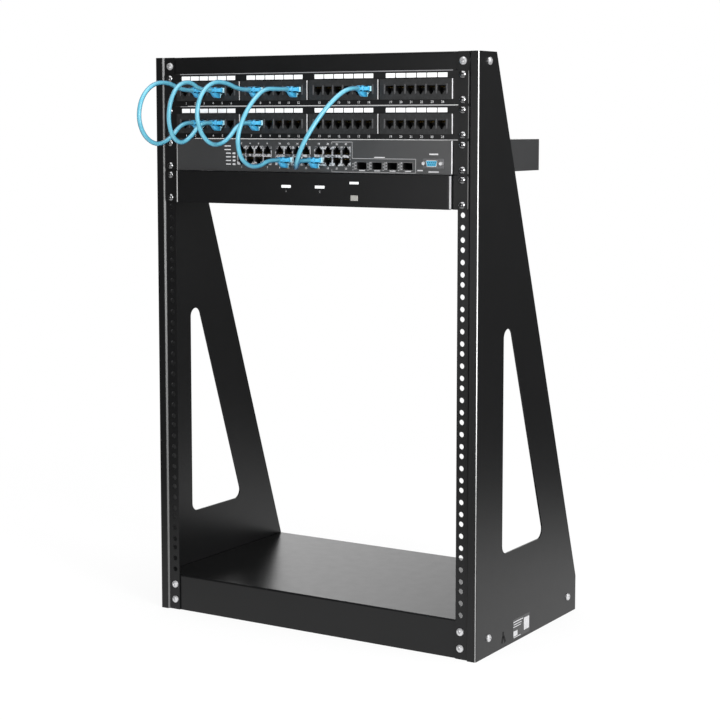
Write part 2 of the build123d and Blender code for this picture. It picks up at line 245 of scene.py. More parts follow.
class Finish(Nodes):
    """One procedural material on the Principled shader, patterned by Object coordinates."""

    def __init__(self, name, **sockets):
        self.material = bpy.data.materials.new(name)
        self.material.use_nodes = True
        super().__init__(self.material.node_tree)
        self.shader = self.tree.nodes["Principled BSDF"]
        self.shade(**sockets)

    def shade(self, **sockets):
        """Feed the shader's sockets, named with _ for a space."""
        for socket, value in sockets.items():
            self.feed(self.shader.inputs[socket.replace("_", " ")], value)

    def skin(self, scale, height, detail=2.0, strength=1.0):
        """Fine relief of the surface."""
        relief = {"Height": self.noise(scale, detail), "Distance": height, "Strength": strength}
        self.shade(Normal=self.node("ShaderNodeBump", inputs=relief))


def powder_coat(name, dark, light, low, high, level, edges):
    """Semi-gloss paint with a fine orange peel. edges(paint, coat) paints highlights on its edges into the
    colour.
    """
    paint = Finish(name, Specular_IOR_Level=level)
    coat = paint.mix(paint.noise(scale=14.0, detail=4.0), dark, light)
    gloss = paint.noise(scale=60.0, detail=3.0)
    paint.shade(Base_Color=edges(paint, coat), Roughness=paint.between(low, high, gloss))
    paint.skin(scale=850.0, height=0.06 * mm, detail=3.0, strength=0.6)
    return paint.material


def rack_edges(paint, coat):
    """Painted highlights: a bright bend at the front right corner, duller low down, and a pale fold beside
    the left rail.
    """
    bend = 1.2 * mm
    dull_below, bright_above = 0.15, 0.42
    x, y, z = (paint.along(axis) for axis in "XYZ")
    corner = (x > rack_side - bend) * (1.0 - (y > rack_front + bend))
    # Painted highlight on the front right bend, brighter higher up.
    shine = paint.mix(paint.ramp(z, dull_below, bright_above), grey(0.24), grey(0.85))
    across = paint.inside(x, -rail_edge - 2.6 * mm, -rail_edge + 0.3 * mm)
    deep = paint.inside(y, rack_front + 0.5 * mm, rail_face - 0.4 * mm)
    # Painted highlight on the fold beside the left rail, on the left side only.
    return paint.mix(corner, paint.mix(across * deep, coat, grey(0.1)), shine)


def right_end(paint, coat):
    """Painted highlight at the right end of a front plate or ear."""
    cut = 0.7 * mm
    return paint.mix(paint.along("X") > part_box("upper_patch_plate")[1].x - cut, coat, grey(0.14))


def left_end(node, width, pale):
    """Painted highlight at the left end of a node."""
    def edge(paint, coat):
        return paint.mix(paint.along("X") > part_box(node)[0].x + width, pale, coat)
    return edge


def moulded(name, dark, light, roughness=0.4, level=0.5, grain=1200.0):
    """Moulded plastic, card or ink with a fine grain."""
    plastic = Finish(name, Specular_IOR_Level=level)
    gloss = plastic.noise(scale=160.0, detail=2.0)
    plastic.shade(
        Base_Color=plastic.mix(plastic.noise(scale=40.0, detail=3.0), dark, light),
        Roughness=plastic.between(roughness - 0.05, roughness + 0.07, gloss),
    )
    plastic.skin(scale=grain, height=0.03 * mm)
    return plastic.material


def plated(name, dark, light, roughness=0.25, metallic=1.0):
    """Plated metal with a little upright streaking."""
    metal = Finish(name, Metallic=metallic)
    streaks = metal.noise(scale=300.0, detail=3.0, stretch=(1.0, 1.0, 0.2))
    metal.shade(
        Base_Color=metal.mix(metal.noise(scale=220.0, detail=3.0), dark, light),
        Roughness=metal.between(roughness - 0.06, roughness + 0.12, streaks),
    )
    metal.skin(scale=1500.0, height=0.02 * mm)
    return metal.material


def dark_inside(name, face, depth, shell, socket, metallic, roughness):
    """Front skin of one finish over a dark inside that starts a little behind the face: painted shade in the
    jack mouths, black plastic darkened by painted shade in the switch sockets.
    """
    part = Finish(name)
    # Painted shade: the socket colour fills everything deeper than depth behind the face.
    inside = part.along("Y") > face + depth
    grain = part.ramp(part.noise(scale=300.0), low=0.42, high=0.6)
    socket_roughness = 0.5
    part.shade(
        Base_Color=part.mix(inside, part.mix(grain, *shell), socket),
        Metallic=metallic * (1.0 - inside),
        Roughness=part.between(roughness, socket_roughness, inside) + 0.05 * grain,
    )
    part.skin(scale=1400.0, height=0.02 * mm)
    return part.material


def circuit_boards():
    """Green solder mask on the boards, dark plastic on the terminal blocks behind them."""
    board_back = rail_face + 14.0 * mm
    board = Finish("board_and_terminals")
    terminals = board.along("Y") > board_back + 0.1 * mm
    fine = board.noise(scale=500.0)
    mask = board.mix(fine, (0.012, 0.05, 0.03), (0.02, 0.075, 0.045))
    plastic = board.mix(fine, (0.02, 0.021, 0.023), (0.032, 0.033, 0.036))
    board.shade(
        Base_Color=board.mix(terminals, mask, plastic),
        Roughness=board.between(low=0.3, high=0.48, amount=terminals),
    )
    board.skin(scale=900.0, height=0.03 * mm)
    return board.material


def port_shell_finish():
    """Grey paint on the console port's flange, bright plating on the shell that stands on it."""
    shell = Finish("console_port_shell")
    flange = shell.along("Y") > fascia_face - 1.0 * mm
    fine = shell.noise(scale=500.0)
    plating = shell.mix(fine, grey(0.5), grey(0.66))
    paint = shell.mix(fine, (0.07, 0.07, 0.073), (0.1, 0.1, 0.104))
    shell.shade(
        Base_Color=shell.mix(flange, plating, paint),
        Metallic=0.9 * (1.0 - flange),
        Roughness=shell.between(low=0.3, high=0.4, amount=fine),
    )
    shell.skin(scale=1200.0, height=0.02 * mm)
    return shell.material


def jacket(name, deep, pale, rim):
    """Soft PVC of cords and boots, with painted shade deepening the colour where it turns away from the view.
    """
    pvc = Finish(name, Specular_IOR_Level=0.65)
    rim_shade_amount = pvc.node("ShaderNodeLayerWeight", inputs={"Blend": 0.5}, output="Facing")
    body = pvc.mix(pvc.noise(scale=90.0, detail=3.0), deep, pale)
    # Painted shade: the rim colour where the surface turns away from the view.
    pvc.shade(
        Base_Color=pvc.mix(pvc.ramp(rim_shade_amount, low=0.25, high=0.85), body, rim),
        Roughness=pvc.between(low=0.26, high=0.34, amount=pvc.noise(scale=260.0)),
    )
    pvc.skin(scale=1600.0, height=0.02 * mm)
    return pvc.material


# The rack's coat carries painted highlights on its front right bend and beside the left rail.
black_coat = powder_coat(
    "black_powder_coat", (0.0034, 0.0035, 0.0037), (0.0048, 0.0049, 0.0052),
    low=0.28, high=0.34, level=0.3, edges=rack_edges,
)
# Front plates and ears carry a painted highlight along their right ends.
panel_paint = powder_coat(
    "black_panel_paint", (0.004, 0.004, 0.0043), (0.0055, 0.0056, 0.006),
    low=0.3, high=0.37, level=0.3, edges=right_end,
)
# The switch fascia's paint carries a painted highlight along its left end.
case_paint = powder_coat(
    "grey_case_paint", (0.022, 0.0225, 0.0235), (0.028, 0.0285, 0.0295),
    low=0.3, high=0.36, level=0.85, edges=left_end("switch_fascia", 1.2 * mm, grey(0.3)),
)
# The console bezel carries a painted highlight along its left end.
bezel_plastic = powder_coat(
    "black_bezel_plastic", (0.003, 0.003, 0.0033), (0.0045, 0.0045, 0.005),
    low=0.3, high=0.38, level=0.3, edges=left_end("console_bezel", 2.2 * mm, grey(0.4)),
)
# Painted shade in the jacks' mouths, behind their face.
jack_plastic = dark_inside(
    "jack_plastic", module_face, 1.2 * mm, shell=((0.009, 0.0092, 0.0095), (0.015, 0.0152, 0.016)),
    socket=(0.002, 0.002, 0.0022), metallic=0.0, roughness=0.4,
)
# Inside the switch sockets: black plastic, darkened by painted shade.
port_shield = dark_inside(
    "port_shield", fascia_face, 0.5 * mm, shell=((0.09, 0.09, 0.095), (0.62, 0.62, 0.63)),
    socket=(0.003, 0.003, 0.0035), metallic=0.6, roughness=0.34,
)
port_shell = port_shell_finish()
boards_finish = circuit_boards()

white_label = moulded(
    "white_label_card", (0.8, 0.81, 0.82), (0.9, 0.9, 0.9), roughness=0.5, level=0.4, grain=700.0
)
# Paint of the painted highlight along the patch panels' top edges
top_highlight_paint = moulded("painted_top_highlight", (0.2, 0.2, 0.21), (0.27, 0.27, 0.28))
rib_plastic = moulded("jack_ribs", (0.035, 0.035, 0.037), (0.055, 0.055, 0.058), roughness=0.38)
inlet_plastic = moulded("inlet_plastic", (0.006, 0.006, 0.0065), (0.012, 0.012, 0.0125), roughness=0.36)
button_plastic = moulded("pale_button", (0.23, 0.225, 0.21), (0.3, 0.295, 0.275), roughness=0.38)
white_ink = moulded("white_ink", (0.6, 0.6, 0.61), (0.78, 0.78, 0.79), roughness=0.45)
grey_ink = moulded("grey_ink", (0.24, 0.24, 0.245), (0.34, 0.34, 0.345), roughness=0.45)
status_ink = moulded("status_ink", (0.4, 0.4, 0.41), (0.52, 0.52, 0.53), roughness=0.45)
dark_ink = moulded("dark_ink", grey(0.002), grey(0.004), roughness=0.6, level=0.2)
sticker_film = moulded("sticker_film", (0.012, 0.012, 0.013), (0.018, 0.018, 0.019), roughness=0.2)
connector_blue = moulded("connector_blue", (0.03, 0.22, 0.36), (0.045, 0.3, 0.45), roughness=0.3)
clear_plug = moulded(
    "clear_plug", (0.32, 0.6, 0.7), (0.44, 0.7, 0.78), roughness=0.18, level=0.6, grain=500.0
)

nickel = plated("nickel_plate", (0.48, 0.48, 0.47), (0.66, 0.66, 0.65))
zinc = plated("zinc_plate", (0.52, 0.52, 0.53), (0.68, 0.68, 0.69), roughness=0.3, metallic=0.7)
gold = plated("contact_gold", (0.62, 0.42, 0.12), (0.82, 0.58, 0.2), roughness=0.22)
screw_black = plated("black_screw", (0.2, 0.2, 0.204), (0.27, 0.27, 0.274), roughness=0.13)
cage_metal = plated("cage_metal", grey(0.16), grey(0.26), roughness=0.3)

# rim is the painted shade colour at the edges of the cords and boots.
cord_blue = jacket("cord_jacket", (0.08, 0.31, 0.41), (0.11, 0.36, 0.46), rim=(0.003, 0.07, 0.15))
boot_blue = jacket("boot_pvc", (0.04, 0.31, 0.54), (0.06, 0.38, 0.62), rim=(0.006, 0.11, 0.24))

node_finish = {
    "right_side_panel": black_coat,
    "left_side_panel": black_coat,
    "base_tray": black_coat,
    "top_bar": black_coat,
    "upper_patch_plate": panel_paint,
    "lower_patch_plate": panel_paint,
    "upper_patch_labels": white_label,
    "lower_patch_labels": white_label,
    "upper_patch_boards": boards_finish,
    "lower_patch_boards": boards_finish,
    "switch_case": case_paint,
    "switch_fascia": case_paint,
    "switch_cages": cage_metal,
    "switch_console_port": port_shell,
    "switch_power_inlet": inlet_plastic,
    "switch_left_bracket": panel_paint,
    "switch_right_bracket": panel_paint,
    "console_case": panel_paint,
    "console_bezel": bezel_plastic,
    "console_button": button_plastic,
    "console_rear_ports": nickel,
    "console_left_bracket": panel_paint,
    "console_right_bracket": panel_paint,
}
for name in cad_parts:
    if "_jacks_" in name:
        node_finish[name] = jack_plastic
    if name.startswith("switch_ports_"):
        node_finish[name] = port_shield


def paint_nodes():
    """Give the CAD parts their finishes. The cords and plugs have pieces of their own."""
    for name, finish in node_finish.items():
        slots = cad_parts[name].data.materials
        for place in range(len(slots)):
            slots[place] = finish


def finished(name, bm, finish, smooth=None):
    """Make a piece of what was modelled, smooth up to an angle in degrees. It rides on the rack."""
    mesh = bpy.data.meshes.new(name)
    bm.to_mesh(mesh)
    bm.free()
    if smooth is not None:
        mesh.shade_smooth()
        mesh.set_sharp_from_angle(angle=radians(smooth))
    piece = bpy.data.objects.new(name, mesh)
    bpy.context.scene.collection.objects.link(piece)
    mesh.materials.clear()
    mesh.materials.append(finish)
    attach(piece, "root")
    return piece


def bevelled(bm, edges, offset, segments):
    """Round some edges off."""
    return bmesh.ops.bevel(
        bm, geom=edges, offset=offset, affect="EDGES", segments=segments, profile=0.5, material=-1
    )


def block(bm, centre, size, edge=0.0, segments=2, turn=None):
    """Box with rounded edges."""
    verts = bmesh.ops.create_cube(bm, size=1.0)["verts"]
    bmesh.ops.scale(bm, vec=size, verts=verts)
    if edge:
        made = bevelled(bm, list({e for v in verts for e in v.link_edges}), edge, segments)
        verts = list({v for f in made["faces"] for v in f.verts} | {v for v in verts if v.is_valid})
    if turn:
        bmesh.ops.transform(bm, matrix=turn, verts=verts)
    bmesh.ops.translate(bm, vec=centre, verts=verts)


standing = Matrix.Rotation(pi / 2, 4, "X")


def rod(bm, centre, radius, length, sides):
    """Round or hexagonal rod along Y."""
    made = bmesh.ops.create_cone(
        bm, cap_ends=True, segments=sides, radius1=radius, radius2=radius, depth=length
    )["verts"]
    bmesh.ops.transform(bm, matrix=Matrix.Translation(centre) @ standing, verts=made)


def add_mesh(bm, mesh, matrix):
    """Add a copy of a mesh at a place."""
    copy = mesh.copy()
    copy.transform(matrix)
    bm.from_mesh(copy)
    bpy.data.meshes.remove(copy)


def turned(profile, steps):
    """Solid turned about Y from a profile of radius and height, standing on the origin and facing -Y."""
    bm = bmesh.new()
    verts = [bm.verts.new((radius, -height, 0.0)) for radius, height in profile]
    edges = [bm.edges.new(pair) for pair in zip(verts, verts[1:])]
    bmesh.ops.spin(
        bm, geom=[*verts, *edges], cent=(0, 0, 0), axis=(0, 1, 0), angle=2 * pi, steps=steps,
        use_merge=True, use_duplicate=False,
    )
    bmesh.ops.remove_doubles(bm, verts=bm.verts[:], dist=1e-6)
    bmesh.ops.recalc_face_normals(bm, faces=bm.faces[:])
    return bm


def dome(radius, height):
    """Flank of a domed screw head, as radius and height from the rim to the top."""
    rim = 0.25
    angles = [step * pi / 8 for step in range(5)]
    return [(radius * cos(t), height * (rim + (1 - rim) * sin(t))) for t in angles]


def screw_head(flank, arm, thickness):
    """Screw head with a cross recess. The flank is given as radius and height from the rim to the top."""
    radius, height = flank[0][0], flank[-1][1]
    depth = 0.6 * height
    sunk = 0.35 * depth
    taper = 0.6
    head = bpy.data.meshes.new("head")
    bm = turned([(0.0, 0.0), (radius, 0.0), *flank], steps=28)
    bm.to_mesh(head)
    bm.free()
    cutter = bpy.data.meshes.new("cutter")
    bm = bmesh.new()
    for size in ((2 * arm, depth, thickness), (thickness, depth, 2 * arm)):
        verts = bmesh.ops.create_cube(bm, size=1.0)["verts"]
        bmesh.ops.scale(bm, vec=size, verts=verts)
        bmesh.ops.scale(bm, vec=(taper, 1.0, taper), verts=[v for v in verts if v.co.y > 0])
        bmesh.ops.translate(bm, vec=(0, sunk - height, 0), verts=verts)
    bm.to_mesh(cutter)
    bm.free()
    solid, tool = (bpy.data.objects.new(m.name, m) for m in (head, cutter))
    for each in (solid, tool):
        bpy.context.scene.collection.objects.link(each)
    cut = solid.modifiers.new("recess", "BOOLEAN")
    cut.operation = "DIFFERENCE"
    cut.solver = "EXACT"
    cut.object = tool
    cut.use_self = True
    done = bpy.data.meshes.new_from_object(solid.evaluated_get(bpy.context.evaluated_depsgraph_get()))
    for each in (solid, tool):
        bpy.data.objects.remove(each)
    return done


pan_head = screw_head(dome(5.1 * mm, 3.4 * mm), arm=2.6 * mm, thickness=0.9 * mm)
small_head = screw_head(dome(2.9 * mm, 1.6 * mm), arm=1.6 * mm, thickness=0.7 * mm)
ear_flank = [in_mm(5.1, 0.5), in_mm(4.9, 0.9), in_mm(3.1, 2.7), in_mm(2.4, 3.1), in_mm(0.0, 3.4)]
ear_head = screw_head(ear_flank, arm=2.2 * mm, thickness=0.9 * mm)


def lettering(text, size):
    """Flat mesh of generic digits, centred on the origin and facing up."""
    curve = bpy.data.curves.new("digits", "FONT")
    curve.body = text
    curve.size = size
    curve.extrude = ink / 2
    curve.align_x = "CENTER"
    curve.align_y = "CENTER"
    curve.resolution_u = 2
    writer = bpy.data.objects.new("digits", curve)
    bpy.context.scene.collection.objects.link(writer)
    mesh = bpy.data.meshes.new_from_object(writer.evaluated_get(bpy.context.evaluated_depsgraph_get()))
    bpy.data.objects.remove(writer)
    return mesh


def printed(name, face, finish, digits=(), bars=()):
    """Digits as (text, x, z, size) and bars as (x, z, width, height), on a face that looks to -Y."""
    bm = bmesh.new()
    for text, x, z, size in digits:
        add_mesh(bm, lettering(text, size), Matrix.Translation((x, face - ink / 2, z)) @ standing)
    for x, z, width, tall in bars:
        block(bm, (x, face - ink / 2, z), (width, ink, tall))
    finished(name, bm, finish)


def left_at(*angles):
    """Each cross recess stops at an angle of its own."""
    return Matrix.Rotation(sum(angles), 4, "Y")


def outward(side):
    """Turns a head from -Y to the outside of the rack."""
    return Matrix.Rotation(side * pi / 2, 4, "Z")


def frame_bolts():
    """Plated bolts that hold the tray and the head bar: three in each rail and three in each side."""
    bm = bmesh.new()
    for side in (-1, 1):
        for z in rail_bolts:
            spot = Matrix.Translation((side * hole_x, rail_face, z))
            add_mesh(bm, pan_head, spot @ left_at(side * 0.7, z * 9))
        for y, z in side_bolts:
            spot = Matrix.Translation((side * rack_side, rack_front + y, z))
            add_mesh(bm, pan_head, spot @ outward(side) @ left_at(side * 0.4, y * 7))
    finished("frame_bolts", bm, zinc, smooth=30)


def ear_screws():
    """Black screws through the ears of the four units."""
    for name, bottom, face in (
        ("upper_patch", upper, plate_face), ("lower_patch", lower, plate_face),
        ("switch", network, ear_face), ("console", console, ear_face),
    ):
        bm = bmesh.new()
        for side in (-1, 1):
            for place, z in enumerate(unit_holes):
                spot = Matrix.Translation((side * hole_x, face, bottom + z))
                add_mesh(bm, ear_head, spot @ left_at(bottom * 11, side, place * 0.8))
        finished(f"{name}_screws", bm, screw_black, smooth=30)


def bracket_screws():
    """Small screws that fasten the ears' flanges to the cases."""
    flange_thickness = 2.0 * mm
    columns = in_mm(18, 43)
    rows = in_mm(10, 34)
    for name, bottom in (("switch", network), ("console", console)):
        flange = max(abs(corner.x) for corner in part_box(f"{name}_case")) + flange_thickness
        bm = bmesh.new()
        for side in (-1, 1):
            for y in columns:
                for z in rows:
                    spot = Matrix.Translation((side * flange, ear_face + y, bottom + z))
                    add_mesh(bm, small_head, spot @ outward(side) @ left_at(y * 50))
        finished(f"{name}_bracket_screws", bm, zinc, smooth=30)


def socket_contacts(bm, x, face, axis, side=1):
    """Sloping contacts in a socket, above its axis for side 1 and below it for side -1."""
    for pin in range(socket_pins):
        spot = (x + centred(pin, socket_pins, pin_pitch), face + pin_depth, axis + side * pin_rise)
        block(bm, spot, pin_size, turn=Matrix.Rotation(side * pin_slope, 4, "X"))


def patch_panel_details(name, bottom, filled, top_highlight_right):
    """Numbers, a painted highlight along the top edge, ribs between the sockets, painted highlights on the
    modules' right ends, and contacts.
    """
    digit_height = 4.5 * mm
    digits = [(str(port), jack_x(port), bottom + 3.9 * mm, digit_height) for port in panel_ports]
    printed(f"{name}_patch_numbers", plate_face, white_ink, digits=digits)

    # Painted highlight: a pale strip along the plate's top edge.
    top_highlight = bmesh.new()
    middle = (top_highlight_left + top_highlight_right) / 2
    length = top_highlight_right - top_highlight_left
    rise = bottom + unit / 2 + 21.6 * mm
    block(top_highlight, (middle, plate_face + 0.35 * mm, rise), (length, *in_mm(1.1, 1.0)), edge=0.3 * mm)
    finished(f"{name}_patch_top_highlight", top_highlight, top_highlight_paint)

    rib_size = in_mm(2.2, 1.2, 12.5)
    # Painted highlights: pale strips on the right ends of the modules.
    end_highlight_size = in_mm(0.4, 2.1, 25.6)
    ribs = bmesh.new()
    ends = bmesh.new()
    low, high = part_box(f"{name}_patch_jacks_1")
    for module in range(modules):
        centre = centred(module, modules, module_pitch)
        right = centre + (high.x - low.x) / 2
        spot = (right + 0.2 * mm, module_face + 1.5 * mm, (low.z + high.z) / 2)
        block(ends, spot, end_highlight_size, edge=0.1 * mm)
        for place in range(module_ports + 1):
            x = centre + centred(place, module_ports + 1, jack_pitch)
            spot = (x, module_face - 0.1 * mm, bottom + 20.6 * mm)
            block(ribs, spot, rib_size, edge=0.5 * mm, segments=3)
    finished(f"{name}_patch_ribs", ribs, rib_plastic, smooth=40)
    finished(f"{name}_patch_module_end_highlights", ends, white_ink)

    contacts = bmesh.new()
    for port in panel_ports:
        if port not in filled:
            socket_contacts(contacts, jack_x(port), module_face, bottom + jack_axis)
    finished(f"{name}_patch_contacts", contacts, gold)


def switch_numbers():
    """Odd port numbers below the sockets and even ones above."""
    group_ports = 2 * group_columns
    digit_height = 3.6 * mm
    digits = []
    for group in port_groups:
        for column in range(1, group_columns + 1):
            odd = group_ports * (group - 1) + 2 * column - 1
            x = switch_x(group, column)
            digits.append((str(odd), x, network + 5.9 * mm, digit_height))
            digits.append((str(odd + 1), x, network + 38.3 * mm, digit_height))
    printed("switch_numbers", fascia_face, white_ink, digits=digits)


def switch_status_bars():
    """Six rows of bars at the left. The last four are shorter, with a small field beside each."""
    rows = 6
    top_row = 34.6 * mm
    row_pitch = 4.95 * mm
    bars = []
    for row in range(rows):
        z = network + top_row - row * row_pitch
        if row < 2:
            bars.append((-131.0 * mm, z, *in_mm(10.5, 1.5)))
        else:
            bars.append((-129.8 * mm, z, *in_mm(8.3, 1.5)))
            bars.append((-120.4 * mm, z, *in_mm(4.6, 2.4)))
    printed("switch_status_bars", fascia_face, status_ink, bars=bars)


def switch_printed_frame():
    """Stepped line round the last four ports and the cages, with a rule and dots beside each cage."""
    left, middle, right = in_mm(38.4, 70.2, 166.4)
    top = network + 41.0 * mm
    waist = network + 19.6 * mm
    foot = network + 1.7 * mm
    line = 0.7 * mm
    tick = 3.2 * mm
    lines = [
        ((left + middle) / 2, top, middle - left, line),
        (left, top - tick / 2, line, tick),
        (middle, (top + waist) / 2, line, top - waist),
        ((middle + right) / 2, waist, right - middle, line),
        (right, (waist + foot) / 2, line, waist - foot),
        ((left + right) / 2, foot, right - left, line),
        (left, foot + tick / 2, line, tick),
    ]
    for place in range(cages):
        x = cage_start + place * cage_pitch - 11.4 * mm
        lines.append((x, network + 10.2 * mm, line, 10.0 * mm))
        for rise in in_mm(6.4, 10.4, 14.4):
            lines.append((x + 2.2 * mm, network + rise, *in_mm(1.8, 1.8)))
            lines.append((x - 2.2 * mm, network + rise - 1.6 * mm, *in_mm(1.4, 1.4)))
    printed("switch_printed_frame", fascia_face, grey_ink, bars=lines)


def switch_marks():
    """Bars in place of the words round the console port and the cages."""
    marks = [
        (console_port_x, network + 26.2 * mm, *in_mm(13.0, 1.9)),
        (console_port_x, network + 3.6 * mm, *in_mm(15.0, 1.9)),
    ]
    for place in range(cages):
        x = cage_start + (place - 0.5) * cage_pitch + 12.0 * mm
        marks.append((x, network + 3.9 * mm, *in_mm(9.0, 1.2)))
    marks.append((112.0 * mm, network + 21.4 * mm, *in_mm(16.0, 1.3)))
    marks.append((173.0 * mm, network + 5.2 * mm, *in_mm(8.0, 1.5)))
    printed("switch_marks", fascia_face, status_ink, bars=marks)


def switch_contacts():
    """Contacts in the free sockets. The lower row has its latches below, the upper row above."""
    filled = {(2, 2, 0), (3, 1, 0)}
    contacts = bmesh.new()
    for group in port_groups:
        for column in range(1, group_columns + 1):
            for row, (axis, side) in enumerate(zip(port_rows, (1, -1))):
                if (group, column, row) not in filled:
                    socket_contacts(contacts, switch_x(group, column), fascia_face, network + axis, side)
    finished("switch_contacts", contacts, gold)


def console_connector():
    """Blue D-shaped face in the console port's shell, with painted shade for its nine holes, and its two
    hexagonal jack screws.
    """
    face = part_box("switch_console_port")[0].y
    axis = network + console_port_axis
    blue = bmesh.new()
    block(blue, (console_port_x, face + 0.2 * mm, axis), in_mm(15.6, 0.9, 6.9), edge=0.4 * mm)
    lower_half = [v for v in blue.verts if v.co.z < axis]
    narrowing = 0.82
    middle = Matrix.Translation((-console_port_x, 0, 0))
    bmesh.ops.scale(blue, vec=(narrowing, 1, 1), verts=lower_half, space=middle)
    finished("console_connector_face", blue, connector_blue)

    # Painted shade: dark patches on the face stand in for the nine holes.
    hole_pitch = 2.75 * mm
    hole_size = (1.1 * mm, 0.06 * mm, 1.1 * mm)
    holes = bmesh.new()
    for count, z in ((5, 1.4 * mm), (4, -1.4 * mm)):
        for place in range(count):
            x = console_port_x + centred(place, count, hole_pitch)
            block(holes, (x, face - 0.26 * mm, axis + z), hole_size)
    finished("console_connector_hole_shades", holes, dark_ink)

    nut_length = 4.6 * mm
    nut_x = 12.5 * mm
    flange = fascia_face - 0.9 * mm
    nuts = bmesh.new()
    for side in (-1, 1):
        centre = (console_port_x + side * nut_x, flange - nut_length / 2, axis)
        rod(nuts, centre, radius=2.4 * mm, length=nut_length, sides=6)
    finished("console_jack_screws", nuts, zinc)


def switch_details():
    """Printing, contacts and the console connector of the network switch."""
    switch_numbers()
    switch_status_bars()
    switch_printed_frame()
    switch_marks()
    switch_contacts()
    console_connector()


def cover_end(name, cover, bottom, depth, width, finish):
    """Painted highlight: a pale strip on the right end of a front cover."""
    low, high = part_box(cover)
    strip = bmesh.new()
    spot = (high.x + 0.15 * mm, low.y + depth, bottom + unit / 2)
    block(strip, spot, (0.3 * mm, width, 42.0 * mm), edge=0.1 * mm)
    finished(name, strip, finish)


def console_details():
    """Light bars with plain digits on the console switch, and painted highlights on the right ends of both
    front covers.
    """
    bar_z = 611.5 * mm
    digit_z = 605.0 * mm
    first_x, second_x, third_x = in_mm(-32.0, 21.8, 75.6)
    bars = [(x, bar_z, *in_mm(15.0, 3.6)) for x in (first_x, second_x)]
    bars.append((third_x, 617.8 * mm, *in_mm(14.0, 3.0)))
    digits = [(text, x, digit_z, 4.2 * mm) for text, x in (("1", first_x), ("2", second_x))]
    printed("console_light_bars", bezel_face, white_label, bars=bars)
    printed("console_digits", bezel_face, grey_ink, digits=digits)
    # Painted highlights on the right ends of the bezel and the fascia.
    cover_end("console_bezel_end_highlight", "console_bezel", console, 4.2 * mm, 4.6 * mm, status_ink)
    cover_end("switch_fascia_end_highlight", "switch_fascia", network, 1.5 * mm, 2.6 * mm, white_ink)


def side_marks():
    """Blank sticker with pale fields and the dark forked mark, low on the right side."""
    y = rack_front + 132.0 * mm
    z = 17.5 * mm
    film = bmesh.new()
    block(film, (rack_side + 0.05 * mm, y, z), in_mm(0.1, 50.0, 27.0))
    fields = bmesh.new()
    for across, up, width, tall in (
        (16, 0.5, 16, 17), (-17, -6.5, 12, 7),
        (-9, 9.5, 28, 1.4), (-11, 6.0, 24, 1.1), (-12, 2.8, 22, 1.1), (-12, -11.6, 20, 1.1),
    ):
        spot = (rack_side + 0.13 * mm, y + across * mm, z + up * mm)
        block(fields, spot, in_mm(0.06, width, tall))
    finished("side_sticker", film, sticker_film)
    finished("side_sticker_fields", fields, status_ink)

    y = rack_front + 79.9 * mm
    stroke = 4.4
    mark = bmesh.new()
    for across, up, tall, lean in ((-1.0, 18.0, 8.0, 0), (-3.2, 11.0, 9.0, 20), (3.0, 11.0, 10.0, -26)):
        spot = (rack_side + 0.04 * mm, y + across * mm, up * mm)
        block(mark, spot, in_mm(0.08, stroke, tall), turn=Matrix.Rotation(radians(-lean), 4, "X"))
    finished("side_forked_mark", mark, dark_ink)


def panel_port(port, bottom):
    """Middle of a jack's mouth."""
    return (jack_x(port), module_face, bottom + jack_axis)


def switch_port(group, column):
    """Middle of the mouth of a socket in the lower row."""
    return (switch_x(group, column), fascia_face, network + port_rows[0])


plug_ends = {
    "cord_1": (panel_port(3, upper), panel_port(3, lower)),
    "cord_2": (panel_port(5, upper), panel_port(5, lower)),
    "cord_3": (panel_port(8, upper), panel_port(8, lower)),
    "cord_4": (panel_port(12, upper), switch_port(2, 2)),
    "cord_5": (panel_port(18, upper), switch_port(3, 1)),
}

# Each cord's length in metres, and the inner points of its route in millimetres
routes = {
    "cord_1": (0.2654, (
        (-174.0, -226.5, 750.5), (-175.5, -256.5, 749.0), (-176.5, -281.0, 731.0), (-177.0, -288.5, 703.0),
        (-176.5, -277.0, 678.5), (-175.5, -251.0, 666.0), (-174.0, -222.5, 675.0),
    )),
    "cord_2": (0.2234, (
        (-143.0, -218.5, 751.5), (-144.5, -243.0, 747.5), (-145.5, -259.0, 727.5), (-146.0, -264.0, 701.5),
        (-145.7, -257.0, 678.5), (-145.0, -238.0, 668.0), (-143.4, -217.0, 677.8),
    )),
    "cord_3": (0.2641, (
        (-79.5, -225.5, 749.5), (-81.0, -254.5, 749.5), (-82.0, -278.5, 733.0), (-82.5, -287.5, 706.0),
        (-82.0, -277.0, 680.0), (-81.0, -252.0, 665.5), (-79.5, -222.5, 673.0),
    )),
    "cord_4": (0.2432, (
        (-18.5, -226.0, 740.5), (-20.5, -249.5, 724.0), (-22.5, -267.5, 703.0), (-25.0, -277.5, 677.0),
        (-27.5, -268.5, 653.0), (-29.5, -245.5, 640.0), (-30.5, -218.5, 639.5),
    )),
    "cord_5": (0.2175, (
        (86.0, -217.0, 728.5), (76.5, -233.5, 709.0), (67.0, -246.5, 687.0), (57.0, -253.5, 664.0),
        (46.0, -247.5, 645.5), (33.0, -229.0, 637.5), (22.0, -210.0, 642.0),
    )),
}

# Sections of a boot as distance from the socket's face, width and height, in millimetres
boot_sections = (
    (5.4, 13.0, 8.4), (11.0, 13.0, 8.4), (13.0, 11.2, 8.2), (15.0, 9.4, 8.0), (16.0, 8.4, 7.6),
    (16.4, 8.9, 8.1), (18.6, 8.6, 7.9), (19.0, 7.7, 7.3), (20.0, 7.7, 7.3), (20.4, 8.3, 7.8),
    (22.2, 8.0, 7.6), (22.6, 7.3, 7.1), (23.9, 7.1, 7.0),
)

# Outline of the latch's guard as distance from the socket's face and height over its axis, in millimetres
guard_outline = (
    (21.5, -3.4), (19.6, -5.4), (17.2, -7.7), (14.6, -9.6), (12.6, -10.4),
    (10.4, -10.5), (5.4, -10.5), (4.9, -9.8), (5.2, -8.6), (5.6, -3.4),
)


